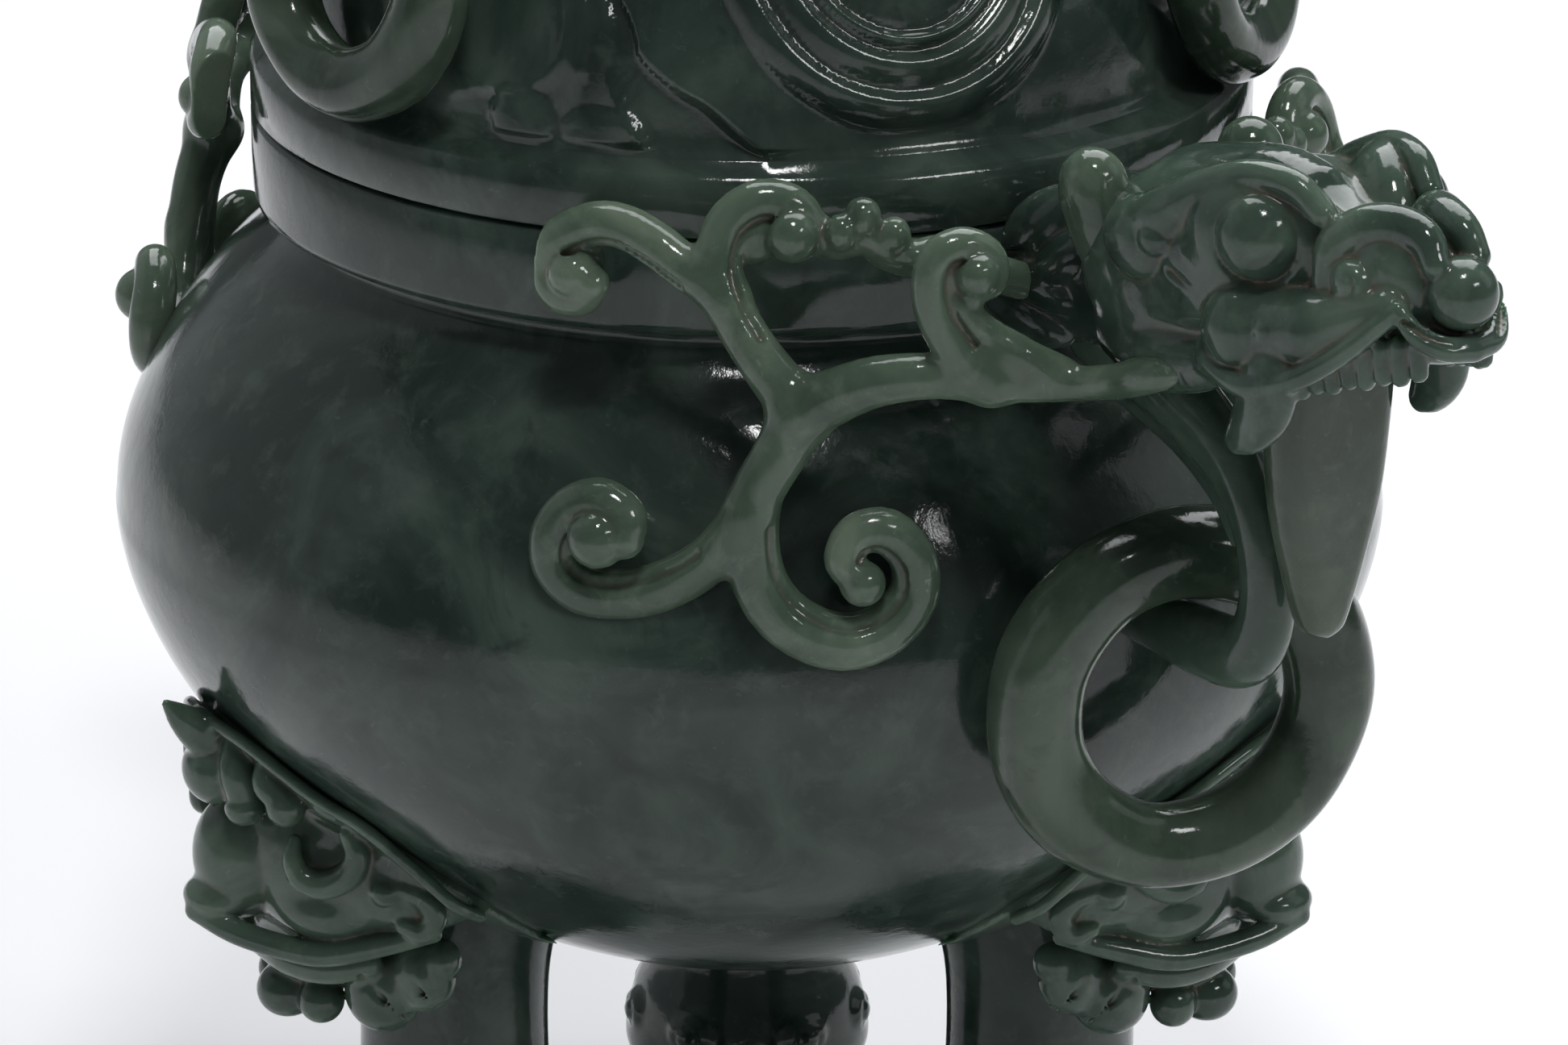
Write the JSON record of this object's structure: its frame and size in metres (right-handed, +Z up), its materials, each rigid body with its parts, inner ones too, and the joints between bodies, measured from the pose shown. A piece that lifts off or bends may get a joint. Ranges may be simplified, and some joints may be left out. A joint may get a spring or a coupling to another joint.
{
  "type": "covered tripod censer",
  "caption": "Lidded round stone incense burner on tripod feet, with dragon-head handles, hanging rings and curled openwork.",
  "frame": {"origin": "on the ground below the bowl's axis, centre of the footprint box", "axes": "+Z up, +X through the handles, -Y through the front leg"},
  "size_m": [0.2788, 0.16, 0.255],
  "materials": {
    "dark_jade": "polished dark spinach-green nephrite, cloudy, with pale flecks and brown residue in the grooves",
    "pale_jade": "polished sage-green translucent nephrite on the thin openwork",
    "ring_jade": "polished mid-green nephrite rings"
  },
  "bodies": {
    "censer": {"bowl": "dark_jade", "leg_front": "dark_jade", "lion_mask_front": "dark_jade", "leg_right": "dark_jade", "lion_mask_right": "dark_jade", "leg_left": "dark_jade", "lion_mask_left": "dark_jade", "dragon_neck_right": "dark_jade", "dragon_head_right": "dark_jade", "dragon_tongue_right": "pale_jade", "ring_hanger_right": "dark_jade", "dragon_horn_right_a": "pale_jade", "dragon_horn_right_b": "pale_jade", "mane_scroll_right_a": "pale_jade", "mane_scroll_right_b": "pale_jade", "dragon_neck_left": "dark_jade", "dragon_head_left": "dark_jade", "dragon_tongue_left": "pale_jade", "ring_hanger_left": "dark_jade", "dragon_horn_left_a": "pale_jade", "dragon_horn_left_b": "pale_jade", "mane_scroll_left_a": "pale_jade", "mane_scroll_left_b": "pale_jade"},
    "lid": {"lid_dome": "dark_jade", "finial": "dark_jade", "lid_mask_front": "dark_jade", "lid_loop_front": "dark_jade", "lid_mask_right": "dark_jade", "lid_loop_right": "dark_jade", "lid_mask_left": "dark_jade", "lid_loop_left": "dark_jade"},
    "handle_ring_right": {"handle_ring_right": "ring_jade"},
    "handle_ring_left": {"handle_ring_left": "ring_jade"},
    "lid_ring_front": {"lid_ring_front": "ring_jade"},
    "lid_ring_right": {"lid_ring_right": "ring_jade"},
    "lid_ring_left": {"lid_ring_left": "ring_jade"}
  },
  "joints": [
    {"name": "lid_lift", "type": "slide", "parent": "censer", "child": "lid", "axis": [0, 0, 1], "range_m": [0, 0.12]},
    {"name": "handle_ring_right_swing", "type": "hinge", "parent": "censer", "child": "handle_ring_right", "pos_m": [0.0897, 0, 0.1184], "axis": [1, 0, 0], "range_deg": [-50, 50]},
    {"name": "handle_ring_left_swing", "type": "hinge", "parent": "censer", "child": "handle_ring_left", "pos_m": [-0.0897, 0, 0.1184], "axis": [-1, 0, 0], "range_deg": [-50, 50]},
    {"name": "lid_ring_front_swing", "type": "hinge", "parent": "lid", "child": "lid_ring_front", "pos_m": [0.00606, -0.05768, 0.2024], "axis": [-0.9945, -0.1045, 0], "range_deg": [0, 100]},
    {"name": "lid_ring_right_swing", "type": "hinge", "parent": "lid", "child": "lid_ring_right", "pos_m": [0.04692, 0.03409, 0.2024], "axis": [0.5878, -0.809, 0], "range_deg": [0, 100]},
    {"name": "lid_ring_left_swing", "type": "hinge", "parent": "lid", "child": "lid_ring_left", "pos_m": [-0.05299, 0.02359, 0.2024], "axis": [0.4067, 0.9135, 0], "range_deg": [0, 100]}
  ]
}
